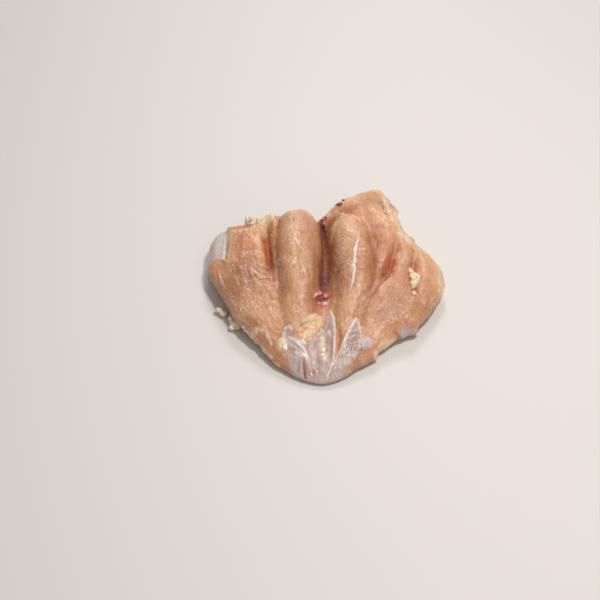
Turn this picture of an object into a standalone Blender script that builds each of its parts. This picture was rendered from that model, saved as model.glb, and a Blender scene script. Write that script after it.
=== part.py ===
"""Whole raw chicken breast, boned and skinned, lying skin side down.

The two breast muscles make one broad heart, thick at the shoulders and thin at the keel tip. On the
inner side, which faces up, an inner fillet lies on each half along the middle furrow, the right
shoulder is rolled over, and lumps of fat cling to the surface.

The keel tip points to -Y and the shoulders to +Y. Sizes and places are in millimetres, and MM turns
them into metres.
"""

import math

import bmesh
import bpy
import numpy as np
from mathutils import Matrix

MM = 0.001

# Driving dimensions.
SHOULDER_THICKNESS = 32.0  # flesh at the shoulders, without the fillets
TIP_THICKNESS = 5.0
FILLET_CREST = 41.0  # top of the left inner fillet
ROLL_CREST = 48.0  # top of the rolled right shoulder, before the rim rounds it down
MUSCLE_FALL = 1.25  # fall of a muscle from its crest to its half width, as a share of that half width
HALF_WIDTH = 84.0
SIDE_DROP = 0.34  # share of the thickness that is lost towards the two sides
LEDGE_DROP = 5.0  # the left shoulder's outer strip lies this much lower
RIM_SHARE = 0.17  # share of each radius over which the upper side rounds down to the rim
FOOT_SHARE = 0.24  # the same for the under side, which is flat inside that share

# The outline seen from above, anticlockwise from the keel tip.
CENTRE = (4.0, -6.0)
OUTLINE = (
    (-1, -85.5), (9, -83.5), (20, -77), (37, -64), (39.5, -58.5), (54, -46.5), (61, -42), (67.5, -39.5),
    (70, -33), (78, -23), (86.5, -6), (89.5, 7), (88, 20), (81, 31), (72, 37), (65.5, 43), (62, 53),
    (57.5, 66), (50.5, 77), (38, 79.5), (24, 76), (13, 71), (6, 66), (1, 63), (-5, 65), (-17, 68),
    (-29, 66), (-40, 62.5), (-50, 58), (-62, 58.5), (-74, 57), (-80, 46), (-81, 30), (-80, 13),
    (-73.5, -3), (-61, -29.5), (-45.5, -50), (-29, -71), (-14, -81.5),
)

# From the keel tip to the shoulders: how much of the step from TIP_THICKNESS to SHOULDER_THICKNESS
# the flesh has taken, and the height of the rim.
STATIONS_Y = (-86, -72, -55, -38, -18, 5, 30, 50, 76)
THICKNESS_SHARES = (0.0, 0.17, 0.39, 0.56, 0.70, 0.85, 0.96, 1.0, 0.96)
RIM_HEIGHTS = (2.5, 3.9, 5.4, 6.7, 8.1, 9.5, 11.0, 12.0, 13.2)
LEFT_RIM_RISE = 4.0  # the flank of the left half is steeper and sharper than the rest

# Muscles that stand out, from the shoulder downwards: x, y, half width and height of the crest.
FILLET_LEFT = (
    (-16, 58, 18.5, FILLET_CREST - 3.5), (-16.5, 46, 20, FILLET_CREST), (-16, 20, 20, FILLET_CREST - 0.5),
    (-16, -6, 18, 35), (-17, -28, 15, 27), (-16, -46, 11, 18), (-13, -62, 8, 8),
)
FILLET_RIGHT = (
    (20, 54, 14, 35), (22, 42, 18, 40), (25, 16, 20, 39.5), (25, -4, 17, 34),
    (21, -25, 12.5, 26), (17, -42, 10, 19), (12, -64, 7, 8),
)
SHOULDER_ROLL = (
    (4, 60, 6, 33), (10, 63, 7, 38), (19, 66, 8, 42), (31, 69, 10, ROLL_CREST - 2.5),
    (43, 70, 9, ROLL_CREST + 1.5), (49, 66.5, 8, ROLL_CREST - 2), (52.5, 59, 8, 41.5), (56.5, 50, 8, 36.5),
    (61, 41.5, 8, 32), (69, 33, 7, 27),
)
INNER_STRAND = (
    (40, 62, 10, 36.5), (44, 50, 13, 38), (46, 34, 12, 36.5), (45, 18, 9, 32.5), (42, 4, 7, 27), (39, -8, 6, 18),
)
OUTER_STRAND = ((59, 46, 10, 32.5), (59, 34, 11, 31.5), (58, 20, 10, 29), (57, 8, 8, 26), (57, -6, 6, 17))

# Furrows: x, y, half width and depth.
FURROWS = (
    # between the fillets, where the keel bone lay
    ((2, 66, 6, 12), (2, 45, 7, 12), (3, 20, 7, 10), (4, -5, 7, 9), (3, -20, 8, 7), (2, -40, 9, 4),
     (1, -60, 9, 1.5), (0, -74, 8, 0)),
    # outside the left fillet
    ((-39, 56, 4, 2), (-38.5, 45, 4, 6), (-37.5, 25, 4, 7), (-36, 12, 4, 6), (-35, 0, 4, 3), (-33, -12, 4, 0)),
    # outside the right fillet
    ((38, 50, 3, 1), (42, 34, 3, 1.5), (43, 14, 3.5, 2), (43, 0, 4, 2.5), (38, -14, 4, 2.5), (30, -28, 4, 2),
     (24, -42, 3, 1), (18, -55, 3, 0)),
    # the pocket between the two strands of the right shoulder
    ((56, 32, 4, 0), (54, 24, 4, 3), (50.5, 13, 5, 7), (46.5, 3, 5, 6), (42, -5, 4, 0)),
    # inside the right lobe
    ((72, 38, 5, 0), (70, 28, 5, 0.5), (68, 16, 4.5, 2.5), (66.5, 2, 4.5, 4), (67, -12, 3, 3), (72, -21, 2.5, 2),
     (77, -27, 2, 1)),
)

# Low swellings of the flesh, then lumps of fat on top: x, y, radius along x, radius along y, rise.
SWELLINGS = (
    (48, 48, 20, 22, 6.0), (-52, 30, 16, 26, 3.0), (76, 16, 13, 15, 4.5), (52, -20, 22, 20, 2.5),
    (-46, -20, 18, 24, 2.5), (32, 60, 13, 7, 5.5), (66, 26, 8, 9, 3.0),
)
FAT_LUMPS = (
    (67, 7, 3.5, 4.5, 2.5), (66.5, -3, 4, 5, 3.0), (66, -12, 3, 4, 2.2),  # inside the right lobe
    (-8, -45, 7, 5, 2.2), (0, -41, 4, 3.5, 1.5),  # at the tail of the left fillet
    (-38, 54, 7, 7, 8.0),  # beside the head of the left fillet
    (-50, 53, 4, 4, 3.0),  # on the left shoulder's back edge
    (-64, -27, 4, 6, 2.5),  # on the left edge
)
LEDGE_CORNER = (-66.0, 18.0)  # the ledge lies left of and behind this place
LEDGE_SOFTNESS = 4.0
LEDGE_TURN = 6.0  # its front border runs this much further back at the left edge

# How softly the muscles run into what lies under them: softest at the fillets' tails, and on the right
# of the right fillet, where it meets the shoulder.
STRAND_BLEND = 9.0
ROLL_BLEND = 6.0
FILLET_BLENDS_Y = (-60, -25, 0, 30)
FILLET_BLENDS = (9.0, 6.0, 3.5, 2.4)
RIGHT_SHOULDER_BLEND = 7.0
RIGHT_SHOULDER_START = (27, 5)

GRID = 63  # points along each side of the grid that makes the upper side
FOOT_RINGS = 5
CURVE_STEPS = 8


def through(rows, closed):
    """A Catmull-Rom curve through the rows in all their columns, CURVE_STEPS points to a span."""
    p = np.asarray(rows, float)
    ends = (p[-1], p[0], p[1]) if closed else (2 * p[0] - p[1], 2 * p[-1] - p[-2])
    q = np.vstack([ends[0], p, *ends[1:]])
    a, b, c, d = (q[i:len(q) - 3 + i, None] for i in range(4))
    t = (np.arange(CURVE_STEPS) / CURVE_STEPS)[None, :, None]
    spans = b + 0.5 * t * (c - a + t * (2 * a - 5 * b + 4 * c - d + t * (3 * b - a - 3 * c + d)))
    curve = spans.reshape(-1, p.shape[1])
    return curve if closed else np.vstack([curve, p[-1]])


def outline_radius(angle):
    """Distance from CENTRE to the outline in each direction."""
    p = through(OUTLINE, closed=True) - CENTRE
    return np.interp(angle, np.arctan2(p[:, 1], p[:, 0]), np.hypot(p[:, 0], p[:, 1]), period=2 * math.pi)


def nearest(curve, x, y):
    """Distance from each place to the curve, and the curve's other two columns at the nearest point."""
    best = np.full(x.shape, np.inf)
    found = np.zeros((2, *x.shape))
    for start, end in zip(curve[:-1], curve[1:]):
        step = end - start
        share = ((x - start[0]) * step[0] + (y - start[1]) * step[1]) / (step[0] ** 2 + step[1] ** 2)
        share = np.clip(share, 0, 1)
        distance = np.hypot(x - start[0] - share * step[0], y - start[1] - share * step[1])
        nearer = distance < best
        best = np.where(nearer, distance, best)
        for column in range(2):
            found[column] = np.where(nearer, start[column + 2] + share * step[column + 2], found[column])
    return best, found


def muscle(rows, x, y):
    """Height of a muscle with a blunt section, which falls with the cube of the distance from its crest."""
    distance, (half_width, crest) = nearest(through(rows, closed=False), x, y)
    return crest - MUSCLE_FALL * half_width * (distance / half_width) ** 3


def furrow(rows, x, y):
    """Depth of a furrow with a bell-shaped section."""
    distance, (half_width, depth) = nearest(through(rows, closed=False), x, y)
    return depth * np.exp(-((distance / half_width) ** 2))


def bumps(rows, x, y):
    """Rise of round bumps with a bell-shaped section."""
    return sum(
        rise * np.exp(-(((x - cx) / radius_x) ** 2) - ((y - cy) / radius_y) ** 2)
        for cx, cy, radius_x, radius_y, rise in rows
    )


def blend_up(low, high, softness):
    """The higher of two surfaces, with the crease between them filled softly."""
    share = np.clip(0.5 + 0.5 * (low - high) / softness, 0, 1)
    return high + (low - high) * share + softness * share * (1 - share)


def ease(t):
    """A smooth step from 0 to 1 while t goes from 0 to 1."""
    t = np.clip(t, 0, 1)
    return t * t * (3 - 2 * t)


def rim_height(x, y):
    """Height at which the flank turns under, all around the outline."""
    left = ease((-x - 15) / 25) * np.exp(-(((y + 12) / 42) ** 2))
    return np.interp(y, STATIONS_Y, RIM_HEIGHTS) + LEFT_RIM_RISE * left


def inner_side(x, y):
    """Height of the upper surface before the rim rounds it: flesh, less furrows, with muscles and fat on it."""
    thickness_share = np.interp(y, STATIONS_Y, THICKNESS_SHARES)
    surface = TIP_THICKNESS + (SHOULDER_THICKNESS - TIP_THICKNESS) * thickness_share
    surface = surface * (1 - SIDE_DROP * (np.abs(x) / HALF_WIDTH) ** 2.4) + bumps(SWELLINGS, x, y)
    surface = surface - sum(furrow(rows, x, y) for rows in FURROWS)
    turned_back = LEDGE_TURN * ease((LEDGE_CORNER[0] - x) / 9)
    behind = ease((y - LEDGE_CORNER[1] - turned_back) / LEDGE_SOFTNESS)
    surface = surface - LEDGE_DROP * behind * ease((LEDGE_CORNER[0] - x) / LEDGE_SOFTNESS)
    surface = blend_up(surface, muscle(OUTER_STRAND, x, y), STRAND_BLEND)
    surface = blend_up(surface, muscle(INNER_STRAND, x, y), STRAND_BLEND)
    surface = blend_up(surface, muscle(SHOULDER_ROLL, x, y), ROLL_BLEND)
    start_x, start_y = RIGHT_SHOULDER_START
    softness = np.interp(y, FILLET_BLENDS_Y, FILLET_BLENDS)
    softness = softness + RIGHT_SHOULDER_BLEND * ease((x - start_x) / 10) * ease((y - start_y) / 15)
    for rows in (FILLET_LEFT, FILLET_RIGHT):
        surface = blend_up(surface, muscle(rows, x, y), softness)
    return surface + bumps(FAT_LUMPS, x, y)


def upper_side(across, along):
    """Turns places on a square, -1 to 1 each way, into the upper side: the square is pressed into a
    disc whose rim becomes the outline, and the last RIM_SHARE of each radius is a quarter oval."""
    disc_x = across * np.sqrt(1 - along ** 2 / 2)
    disc_y = along * np.sqrt(1 - across ** 2 / 2)
    angle = np.arctan2(disc_y, disc_x)
    reach = np.minimum(np.hypot(disc_x, disc_y), 1)
    flat = 1 - RIM_SHARE
    knee = flat / (flat + RIM_SHARE * math.pi / 2)
    turn = np.clip((reach - knee) / (1 - knee), 0, 1) * math.pi / 2
    share = np.where(reach < knee, reach * flat / knee, flat + RIM_SHARE * np.sin(turn))
    radius = outline_radius(angle)
    x = CENTRE[0] + share * radius * np.cos(angle)
    y = CENTRE[1] + share * radius * np.sin(angle)
    rim = rim_height(CENTRE[0] + radius * np.cos(angle), CENTRE[1] + radius * np.sin(angle))
    return x, y, rim + (inner_side(x, y) - rim) * np.cos(turn)


def add_foot(bm):
    """Rings that draw the rim in and down along a quarter oval, closed by one flat face on the floor."""
    from_centre = Matrix.Translation((-CENTRE[0], -CENTRE[1], 0))
    open_edges = [edge for edge in bm.edges if edge.is_boundary]
    width, height = 1.0, 1.0
    for ring in range(1, FOOT_RINGS + 1):
        turn = ring / FOOT_RINGS * math.pi / 2
        new_width = 1 - FOOT_SHARE * (1 - math.cos(turn))
        new_height = 1 - math.sin(turn)
        grown = bmesh.ops.extrude_edge_only(bm, edges=open_edges)["geom"]
        new_points = [item for item in grown if isinstance(item, bmesh.types.BMVert)]
        open_edges = [item for item in grown if isinstance(item, bmesh.types.BMEdge) and item.is_boundary]
        factors = (new_width / width, new_width / width, new_height / height)
        bmesh.ops.scale(bm, vec=factors, space=from_centre, verts=new_points)
        width, height = new_width, new_height
    bmesh.ops.contextual_create(bm, geom=open_edges)


def make_breast(name, material):
    """The breast as one closed mesh, standing on the floor with the middle of its box over the origin."""
    bm = bmesh.new()
    bmesh.ops.create_grid(bm, x_segments=GRID - 1, y_segments=GRID - 1, size=1)
    square = np.array([point.co[:2] for point in bm.verts])
    for point, place in zip(bm.verts, np.column_stack(upper_side(*square.T))):
        point.co = place
    add_foot(bm)
    bmesh.ops.recalc_face_normals(bm, faces=bm.faces)
    corners = np.array([point.co for point in bm.verts])
    middle = (corners.min(0) + corners.max(0)) / 2
    bmesh.ops.translate(bm, verts=bm.verts, vec=(-middle[0], -middle[1], 0))
    bmesh.ops.scale(bm, verts=bm.verts, vec=(MM, MM, MM))
    mesh = bpy.data.meshes.new(name)
    bm.to_mesh(mesh)
    bm.free()
    mesh.shade_smooth()
    mesh.materials.append(material)
    breast = bpy.data.objects.new(name, mesh)
    bpy.context.scene.collection.objects.link(breast)
    return breast


def raw_flesh():
    """Damp peach-tan flesh."""
    material = bpy.data.materials.new("raw_flesh")
    material.use_nodes = True
    shader = material.node_tree.nodes["Principled BSDF"]
    shader.inputs["Base Color"].default_value = (0.62, 0.33, 0.19, 1)
    shader.inputs["Roughness"].default_value = 0.35
    shader.inputs["Metallic"].default_value = 0.0
    return material


def main():
    for old in list(bpy.data.objects):
        bpy.data.objects.remove(old)
    make_breast("chicken_breast", raw_flesh())


main()
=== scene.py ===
"""Whole raw chicken breast, boned and skinned, lying skin side down on a pale table."""

import math

import bpy
import numpy as np
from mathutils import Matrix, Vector


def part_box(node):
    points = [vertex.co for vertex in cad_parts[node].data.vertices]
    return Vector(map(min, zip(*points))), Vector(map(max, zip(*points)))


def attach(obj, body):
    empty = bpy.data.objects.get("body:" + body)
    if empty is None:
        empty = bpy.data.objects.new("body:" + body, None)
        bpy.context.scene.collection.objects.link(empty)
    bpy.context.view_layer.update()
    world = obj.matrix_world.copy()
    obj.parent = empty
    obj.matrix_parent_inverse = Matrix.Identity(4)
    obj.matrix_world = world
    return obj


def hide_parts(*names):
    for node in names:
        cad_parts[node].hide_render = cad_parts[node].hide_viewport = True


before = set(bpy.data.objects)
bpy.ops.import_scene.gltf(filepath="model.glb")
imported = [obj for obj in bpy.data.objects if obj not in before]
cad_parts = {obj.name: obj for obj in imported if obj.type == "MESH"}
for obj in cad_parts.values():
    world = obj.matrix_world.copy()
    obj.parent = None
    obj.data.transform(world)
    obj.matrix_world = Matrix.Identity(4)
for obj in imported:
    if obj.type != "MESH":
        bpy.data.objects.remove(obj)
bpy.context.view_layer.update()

MM = 0.001

# The breast in millimetres, keel tip towards -Y, shoulders towards +Y, seen from above.
SHOULDER_THICKNESS = 32.0
TIP_THICKNESS = 5.0
FILLET_CREST = 41.0
ROLL_CREST = 48.0
MUSCLE_FALL = 1.25
HALF_WIDTH = 84.0
SIDE_DROP = 0.34
LEDGE_DROP = 5.0
RIM_SHARE = 0.17
FOOT_SHARE = 0.24

CENTRE = (4.0, -6.0)
OUTLINE = (
    (-1, -85.5), (9, -83.5), (20, -77), (37, -64), (39.5, -58.5), (54, -46.5), (61, -42), (67.5, -39.5),
    (70, -33), (78, -23), (86.5, -6), (89.5, 7), (88, 20), (81, 31), (72, 37), (65.5, 43), (62, 53),
    (57.5, 66), (50.5, 77), (38, 79.5), (24, 76), (13, 71), (6, 66), (1, 63), (-5, 65), (-17, 68),
    (-29, 66), (-40, 62.5), (-50, 58), (-62, 58.5), (-74, 57), (-80, 46), (-81, 30), (-80, 13),
    (-73.5, -3), (-61, -29.5), (-45.5, -50), (-29, -71), (-14, -81.5),
)
STATIONS_Y = (-86, -72, -55, -38, -18, 5, 30, 50, 76)
THICKNESS_SHARES = (0.0, 0.17, 0.39, 0.56, 0.70, 0.85, 0.96, 1.0, 0.96)
RIM_HEIGHTS = (2.5, 3.9, 5.4, 6.7, 8.1, 9.5, 11.0, 12.0, 13.2)
LEFT_RIM_RISE = 4.0  # the flank of the left half is steeper and sharper than the rest

# Muscles that stand out, from the shoulder downwards: x, y, half width and height of the crest.
FILLET_LEFT = (
    (-16, 58, 18.5, FILLET_CREST - 3.5), (-16.5, 46, 20, FILLET_CREST), (-16, 20, 20, FILLET_CREST - 0.5),
    (-16, -6, 18, 35), (-17, -28, 15, 27), (-16, -46, 11, 18), (-13, -62, 8, 8),
)
FILLET_RIGHT = (
    (20, 54, 14, 35), (22, 42, 18, 40), (25, 16, 20, 39.5), (25, -4, 17, 34),
    (21, -25, 12.5, 26), (17, -42, 10, 19), (12, -64, 7, 8),
)
SHOULDER_ROLL = (
    (4, 60, 6, 33), (10, 63, 7, 38), (19, 66, 8, 42), (31, 69, 10, ROLL_CREST - 2.5),
    (43, 70, 9, ROLL_CREST + 1.5), (49, 66.5, 8, ROLL_CREST - 2), (52.5, 59, 8, 41.5), (56.5, 50, 8, 36.5),
    (61, 41.5, 8, 32), (69, 33, 7, 27),
)
INNER_STRAND = (
    (40, 62, 10, 36.5), (44, 50, 13, 38), (46, 34, 12, 36.5), (45, 18, 9, 32.5), (42, 4, 7, 27),
    (39, -8, 6, 18),
)
OUTER_STRAND = ((59, 46, 10, 32.5), (59, 34, 11, 31.5), (58, 20, 10, 29), (57, 8, 8, 26), (57, -6, 6, 17))

# Furrows: x, y, half width and depth.
FURROWS = (
    # between the fillets, where the keel bone lay
    ((2, 66, 6, 12), (2, 45, 7, 12), (3, 20, 7, 10), (4, -5, 7, 9), (3, -20, 8, 7), (2, -40, 9, 4),
     (1, -60, 9, 1.5), (0, -74, 8, 0)),
    # outside the left fillet
    ((-39, 56, 4, 2), (-38.5, 45, 3, 7), (-37.5, 25, 3, 8), (-36, 12, 3, 6.5), (-35, 0, 4, 3),
     (-33, -12, 4, 0)),
    # outside the right fillet
    ((38, 50, 3, 1), (42, 34, 3, 1.5), (43, 14, 3, 2.5), (43, 0, 3, 3.5), (38, -12, 3, 3.5),
     (30, -27, 3, 3), (26, -42, 3, 2), (18, -58, 3, 0)),
    # the pocket between the two strands of the right shoulder
    ((55, 26, 2.5, 0), (52, 17, 2.5, 4), (48.5, 8.5, 3, 9), (45.5, 1.5, 3, 8), (42, -5, 3, 0)),
    # inside the right lobe
    ((72, 38, 5, 0), (70, 28, 5, 0.5), (68, 16, 4, 2.5), (66.5, 2, 4, 4), (67, -12, 2.5, 3),
     (72, -21, 2, 2), (77, -27, 2, 1)),
)
SWELLINGS = (
    (48, 48, 20, 22, 6.0), (-52, 30, 16, 26, 3.0), (76, 16, 13, 15, 4.5), (52, -20, 22, 20, 2.5),
    (-46, -20, 18, 24, 2.5), (-38, 54, 7, 7, 8.0), (-64, -27, 4, 6, 2.0), (32, 60, 13, 7, 5.5),
    (66, 26, 8, 9, 3.0),
)
LEDGE_CORNER = (-66.5, 17.0)
LEDGE_EDGE = 1.6  # width of the step down to the ledge

# How softly each muscle runs into the flesh; the fillets are sharper towards the shoulders.
STRAND_SOFTNESS = 9.0
ROLL_SOFTNESS = 6.0
FILLET_SOFTNESS_Y = (-60, -25, 0, 30)
FILLET_SOFTNESS = (9.0, 6.0, 3.0, 1.4)

# Low folds on the flesh: x, y, half width and height, which is negative for a groove.
FOLDS = (
    # on the left half
    ((-55, 14, 1.5, 0), (-54, 6, 1.6, -0.4), (-53, -2, 1.6, -0.4), (-50, -10, 1.5, 0)),
    ((-50, 8, 1.2, 0), (-50, 1, 1.3, 0.7), (-47, -6, 1.2, 0)),
    # the cut beside the tip
    ((-12.4, -70.5, 0.9, -0.6), (-11.8, -75.6, 1.1, -2.6), (-10.8, -84, 1.2, -3.0)),
    # in the yellow fat at the left fillet's tail
    ((-12.4, -46, 0.9, -0.8), (-8.2, -42, 1.0, -1.3), (-3.2, -39.3, 1.0, -1.0), (1, -39, 0.9, -0.3)),
    # in the membranes at the tip
    ((-8.5, -57, 1.0, -0.4), (-9.8, -63, 1.0, -0.9), (-7.5, -71, 1.0, -0.9), (-5.5, -80, 1.0, -0.4)),
    ((-3, -60, 1.0, 0), (-3, -68, 1.0, -0.6), (-2, -78, 1.0, -0.4)),
    ((6.5, -52, 1.0, 0), (6.5, -62, 1.0, -0.6), (5, -72, 1.0, -0.3)),
    ((-15, -70, 1.6, 0), (-16.5, -76, 1.6, -0.8), (-17, -82, 1.6, -0.5)),
    # the wedge of bare flesh between them
    ((11.5, -45, 1.4, 0), (12.5, -54, 1.6, -1.2), (11, -62, 1.4, -1.0), (9.5, -67, 1.0, 0)),
    # on the right shoulder and the right fillet
    ((52, 44, 1.0, 0), (47, 41, 1.0, 0.8), (41, 40, 1.0, 0.6), (37, 42, 1.0, 0)),
    ((33, 36, 1.2, 0), (37, 22, 1.4, -0.8), (40, 8, 1.2, -0.8), (39, -4, 1.0, 0)),
    # the sharp edge of the left flank
    ((-76, 16, 0.9, 0.4), (-72, 2, 0.9, 0.9), (-66, -14, 0.9, 1.0), (-57, -33, 0.9, 1.0),
     (-48, -47, 0.9, 0.8), (-41, -58, 0.9, 0.3)),
)


def through(rows, closed=False, steps=8):
    """A smooth curve through the rows in all their columns, with that many points to a span: a cubic
    whose slope at each row is half the step from the row before to the row after."""
    p = np.asarray(rows, float)
    ends = (p[-1], p[0], p[1]) if closed else (2 * p[0] - p[1], 2 * p[-1] - p[-2])
    q = np.vstack([ends[0], p, *ends[1:]])
    a, b, c, d = (q[i:len(q) - 3 + i, None] for i in range(4))
    t = (np.arange(steps) / steps)[None, :, None]
    spans = b + 0.5 * t * (c - a + t * (2 * a - 5 * b + 4 * c - d + t * (3 * b - a - 3 * c + d)))
    curve = spans.reshape(-1, p.shape[1])
    return curve if closed else np.vstack([curve, p[-1]])


def nearest(curve, x, y):
    """For each place: distance to the curve, side of it, way along it, and its other columns there."""
    best = np.full(x.shape, np.inf)
    side, along = np.zeros(x.shape), np.zeros(x.shape)
    found = np.zeros((curve.shape[1] - 2, *x.shape))
    done = 0.0
    for start, end in zip(curve[:-1], curve[1:]):
        step = end - start
        length = math.hypot(step[0], step[1])
        share = np.clip(((x - start[0]) * step[0] + (y - start[1]) * step[1]) / length ** 2, 0, 1)
        off_x, off_y = x - start[0] - share * step[0], y - start[1] - share * step[1]
        distance = np.hypot(off_x, off_y)
        nearer = distance < best
        best = np.where(nearer, distance, best)
        side = np.where(nearer, np.sign(step[0] * off_y - step[1] * off_x), side)
        along = np.where(nearer, done + share * length, along)
        for column in range(len(found)):
            found[column] = np.where(nearer, start[column + 2] + share * step[column + 2], found[column])
        done += length
    return best, side, along, found


def depth_inside(corners, x, y):
    """Distance from each place to a smooth closed outline through the corners, positive inside it."""
    curve = through(corners, closed=True, steps=5)
    curve = np.vstack([curve, curve[:1]])
    inside = np.zeros(x.shape, bool)
    for start, end in zip(curve[:-1], curve[1:]):
        crosses = (start[1] > y) != (end[1] > y)
        rise = end[1] - start[1]
        at = start[0] + (y - start[1]) / (rise if rise else 1.0) * (end[0] - start[0])
        inside ^= crosses & (x < at)
    return np.where(inside, 1, -1) * nearest(curve, x, y)[0]


def ease(t):
    """A smooth step from 0 to 1 while t goes from 0 to 1."""
    t = np.clip(t, 0, 1)
    return t * t * (3 - 2 * t)


def blend_up(low, high, softness):
    """The higher of two surfaces, with the crease between them filled softly."""
    share = np.clip(0.5 + 0.5 * (low - high) / softness, 0, 1)
    return high + (low - high) * share + softness * share * (1 - share)


def noise(x, y, seed):
    """Smooth noise from -1 to 1: random values on the corners of unit squares, eased between them."""
    size = 256
    corners = np.random.default_rng(seed).uniform(-1, 1, (size, size))
    i, j = np.floor(x).astype(int), np.floor(y).astype(int)
    u, v = ease(x - i), ease(y - j)
    near = corners[i % size, j % size] * (1 - v) + corners[i % size, (j + 1) % size] * v
    far = corners[(i + 1) % size, j % size] * (1 - v) + corners[(i + 1) % size, (j + 1) % size] * v
    return near * (1 - u) + far * u


def bumps(rows, x, y):
    """Sum of round bumps with a bell-shaped section: x, y, radius along x, radius along y, rise."""
    return sum(
        rise * np.exp(-(((x - cx) / radius_x) ** 2) - ((y - cy) / radius_y) ** 2)
        for cx, cy, radius_x, radius_y, rise in rows
    )


def furrow(rows, x, y):
    """Depth of a furrow with a bell-shaped section."""
    distance, _, _, (half_width, depth) = nearest(through(rows), x, y)
    return depth * np.exp(-((distance / half_width) ** 2))


def muscle(rows, x, y):
    """Height of a muscle with a blunt section, which falls with the cube of the distance from its crest."""
    distance, _, _, (half_width, crest) = nearest(through(rows), x, y)
    return crest - MUSCLE_FALL * half_width * (distance / half_width) ** 3


def outline_radius(angle):
    """Distance from CENTRE to the outline in each direction."""
    p = through(OUTLINE, closed=True) - CENTRE
    return np.interp(angle, np.arctan2(p[:, 1], p[:, 0]), np.hypot(p[:, 0], p[:, 1]), period=2 * math.pi)


def rim_height(x, y):
    """Height at which the flank turns under, all around the outline."""
    left = ease((-x - 15) / 25) * np.exp(-(((y + 12) / 42) ** 2))
    return np.interp(y, STATIONS_Y, RIM_HEIGHTS) + LEFT_RIM_RISE * left


def inner_side(x, y):
    """Height of the upper surface before the rim rounds it: flesh, less furrows, with muscles and folds."""
    thickness_share = np.interp(y, STATIONS_Y, THICKNESS_SHARES)
    surface = TIP_THICKNESS + (SHOULDER_THICKNESS - TIP_THICKNESS) * thickness_share
    surface = surface * (1 - SIDE_DROP * (np.abs(x) / HALF_WIDTH) ** 2.4) + bumps(SWELLINGS, x, y)
    surface = surface - sum(furrow(rows, x, y) for rows in FURROWS)
    wander = 0.8 * noise(y / 6, x / 6, 11)
    behind = ease((y - LEDGE_CORNER[1] - 6 * ease((-67 - x) / 9) + wander) / LEDGE_EDGE)
    surface = surface - LEDGE_DROP * behind * ease((LEDGE_CORNER[0] - x + wander) / LEDGE_EDGE)
    surface = blend_up(surface, muscle(OUTER_STRAND, x, y), STRAND_SOFTNESS)
    surface = blend_up(surface, muscle(INNER_STRAND, x, y), STRAND_SOFTNESS)
    surface = blend_up(surface, muscle(SHOULDER_ROLL, x, y), ROLL_SOFTNESS)
    softness = np.interp(y, FILLET_SOFTNESS_Y, FILLET_SOFTNESS)
    softness = softness + 7.0 * ease((x - 27) / 10) * ease((y - 5) / 15)
    for rows in (FILLET_LEFT, FILLET_RIGHT):
        surface = blend_up(surface, muscle(rows, x, y), softness)
    return surface + sum(furrow(rows, x, y) for rows in FOLDS)


def upper_side(across, along):
    """Turns places on a square, -1 to 1 each way, into the upper side: the square is pressed into a
    disc whose rim becomes the outline, and the last RIM_SHARE of each radius is a quarter oval."""
    disc_x = across * np.sqrt(1 - along ** 2 / 2)
    disc_y = along * np.sqrt(1 - across ** 2 / 2)
    angle = np.arctan2(disc_y, disc_x)
    reach = np.minimum(np.hypot(disc_x, disc_y), 1)
    flat = 1 - RIM_SHARE
    knee = flat / (flat + RIM_SHARE * math.pi / 2)
    turn = np.clip((reach - knee) / (1 - knee), 0, 1) * math.pi / 2
    share = np.where(reach < knee, reach * flat / knee, flat + RIM_SHARE * np.sin(turn))
    radius = outline_radius(angle)
    x = CENTRE[0] + share * radius * np.cos(angle)
    y = CENTRE[1] + share * radius * np.sin(angle)
    rim = rim_height(CENTRE[0] + radius * np.cos(angle), CENTRE[1] + radius * np.sin(angle))
    return np.stack([x, y, rim + (inner_side(x, y) - rim) * np.cos(turn)], -1)


def under_side(rim, rings):
    """The rim drawn in and lowered ring by ring along a quarter oval, down to the floor."""
    turn = (np.arange(1, rings + 1) / rings * math.pi / 2)[:, None]
    drawn_in = 1 - FOOT_SHARE * (1 - np.cos(turn))
    x = CENTRE[0] + (rim[:, 0] - CENTRE[0]) * drawn_in
    y = CENTRE[1] + (rim[:, 1] - CENTRE[1]) * drawn_in
    return np.stack([x, y, rim[:, 2] * (1 - np.sin(turn))], -1)


def grid_quads(index):
    """Quads between the neighbours in a grid of point numbers."""
    return np.stack([index[:-1, :-1], index[1:, :-1], index[1:, 1:], index[:-1, 1:]], -1).reshape(-1, 4)


def flesh_mesh(side_points, rings):
    """Points and faces of the closed flesh: a grid above, rings under its rim and a fan on the floor."""
    side = np.linspace(-1, 1, side_points)
    across, along = np.meshgrid(side, side, indexing="ij")
    top = upper_side(across, along).reshape(-1, 3)
    index = np.arange(side_points ** 2).reshape(side_points, side_points)
    ring = np.concatenate([index[:-1, 0], index[-1, :-1], index[:0:-1, -1], index[0, :0:-1]])
    foot = under_side(top[ring], rings)
    below = len(top) + np.arange(rings * len(ring)).reshape(rings, len(ring))
    wall = np.vstack([ring, below])
    wall = np.column_stack([wall, wall[:, 0]])
    middle = len(top) + below.size
    last = wall[-1]
    fan = np.column_stack([last[:-1], np.full(len(last) - 1, middle), last[1:]])
    points = np.vstack([top, foot.reshape(-1, 3), [[*CENTRE, 0.0]]])
    faces = [*grid_quads(index).tolist(), *grid_quads(wall.T[::-1]).tolist(), *fan.tolist()]
    return points, faces, index


low, high = (np.array(corner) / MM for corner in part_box("chicken_breast"))
outline_points = through(OUTLINE, closed=True)
box_middle = (outline_points.min(0) + outline_points.max(0)) / 2
SHIFT = np.array([*((low + high)[:2] / 2 - box_middle), 0.0])


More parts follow.
